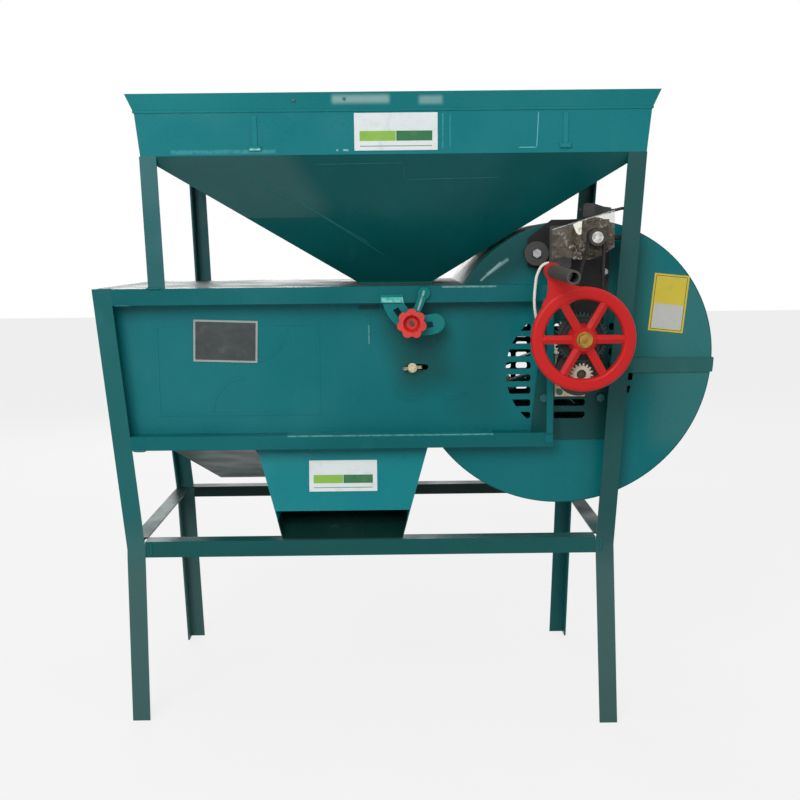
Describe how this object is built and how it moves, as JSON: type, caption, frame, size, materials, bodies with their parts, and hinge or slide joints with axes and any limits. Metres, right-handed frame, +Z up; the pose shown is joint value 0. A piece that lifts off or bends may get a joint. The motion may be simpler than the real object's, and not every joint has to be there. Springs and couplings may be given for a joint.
{
  "type": "winnowing machine",
  "caption": "Sheet-metal winnowing machine on angle-iron legs, with a hopper, slotted fan drum, red crank wheel, gears, belt drive and small motor.",
  "frame": {"origin": "centre of the footprint on the floor", "axes": "+X along the wind tunnel towards the fan drum, +Y from the crank side to the rear, +Z up"},
  "size_m": [1.0559, 0.7254, 1.091],
  "materials": {
    "teal_paint": "satin",
    "dark_teal_paint": "satin",
    "black_motor": "satin",
    "red_paint": "gloss",
    "red_plastic": "gloss",
    "black_plastic": "matte",
    "white_plastic": "satin",
    "white_sticker": "gloss",
    "yellow_sticker": "gloss",
    "dark_plate": "satin",
    "steel": "satin",
    "zinc_steel": "satin",
    "brass": "satin",
    "black_rubber": "matte",
    "grey_iron": "satin"
  },
  "bodies": {
    "frame": {"leg_front_left": "teal_paint", "leg_front_right": "teal_paint", "leg_rear_left": "teal_paint", "leg_rear_right": "teal_paint", "hopper_posts": "teal_paint", "top_rails": "teal_paint", "bottom_rails": "teal_paint", "crossbars": "teal_paint", "outlet_bars": "teal_paint", "rail_end_bar": "teal_paint", "hopper_funnel": "dark_teal_paint", "hopper_band": "teal_paint", "hopper_rim": "teal_paint", "hopper_clips": "teal_paint", "side_sheet_front": "teal_paint", "side_sheet_rear": "teal_paint", "tunnel_top": "teal_paint", "tunnel_floor": "teal_paint", "drum_wrap_upper": "teal_paint", "drum_wrap_lower": "teal_paint", "drum_seam_strap": "teal_paint", "mounting_plate": "dark_teal_paint", "grain_chute": "teal_paint", "light_chute": "teal_paint", "label_blanks": "white_sticker", "rating_plate_blank": "dark_plate", "warning_sticker_blank": "yellow_sticker", "gate_quadrant": "teal_paint", "crank_bracket": "zinc_steel", "crank_axle": "steel", "crank_nut": "brass", "front_bearing": "steel", "rear_bearing": "steel", "drive_belt": "black_rubber", "motor_bracket": "black_motor", "motor_body": "black_motor", "switch_box": "black_plastic", "clamp_knob": "black_plastic", "mains_lead": "black_rubber", "mains_hank": "black_rubber", "mains_plug": "black_plastic", "white_lead": "white_plastic", "lead_connector": "white_plastic", "fasteners": "steel"},
    "fan": {"fan_shaft": "steel", "fan_spiders": "teal_paint", "fan_blades": "teal_paint", "fan_pulley": "black_plastic", "pinion": "white_plastic"},
    "crank": {"crank_wheel": "red_paint", "crank_gear": "grey_iron", "grip_pin": "steel"},
    "grip": {"crank_grip": "black_plastic"},
    "motor": {"motor_rotor": "steel"},
    "gate": {"gate_flap": "teal_paint", "gate_lever": "teal_paint", "gate_stud": "steel"},
    "gate_knob": {"gate_knob": "red_plastic"},
    "baffle": {"baffle_board": "teal_paint", "baffle_stud_nut": "zinc_steel"}
  },
  "joints": [
    {"name": "fan_spin", "type": "hinge", "parent": "frame", "child": "fan", "pos_m": [0.28, -0.13032, 0.634], "axis": [0, -1, 0], "continuous": true},
    {"name": "crank_spin", "type": "hinge", "parent": "frame", "child": "crank", "pos_m": [0.28, -0.19032, 0.692], "axis": [0, -1, 0], "continuous": true},
    {"name": "motor_spin", "type": "hinge", "parent": "frame", "child": "motor", "pos_m": [0.308, -0.17032, 0.853], "axis": [0, -1, 0], "continuous": true},
    {"name": "grip_spin", "type": "hinge", "parent": "crank", "child": "grip", "pos_m": [0.23541, -0.29394, 0.79741], "axis": [0.0957, -0.994, -0.0523], "continuous": true},
    {"name": "gate_swing", "type": "hinge", "parent": "frame", "child": "gate", "pos_m": [0.029, 0.10968, 0.764], "axis": [0, -1, 0], "range_deg": [-33, 33]},
    {"name": "gate_knob_turn", "type": "hinge", "parent": "gate", "child": "gate_knob", "pos_m": [0.0079, -0.14032, 0.71429], "axis": [0, -1, 0], "range_deg": [-180, 180]},
    {"name": "baffle_swing", "type": "hinge", "parent": "frame", "child": "baffle", "pos_m": [0.021, 0.10968, 0.512], "axis": [0, -1, 0], "range_deg": [-10, 3]}
  ],
  "couplings": [
    {"joint": "crank_spin", "follows": "fan_spin", "ratio": -0.41463},
    {"joint": "motor_spin", "follows": "fan_spin", "ratio": 3}
  ]
}
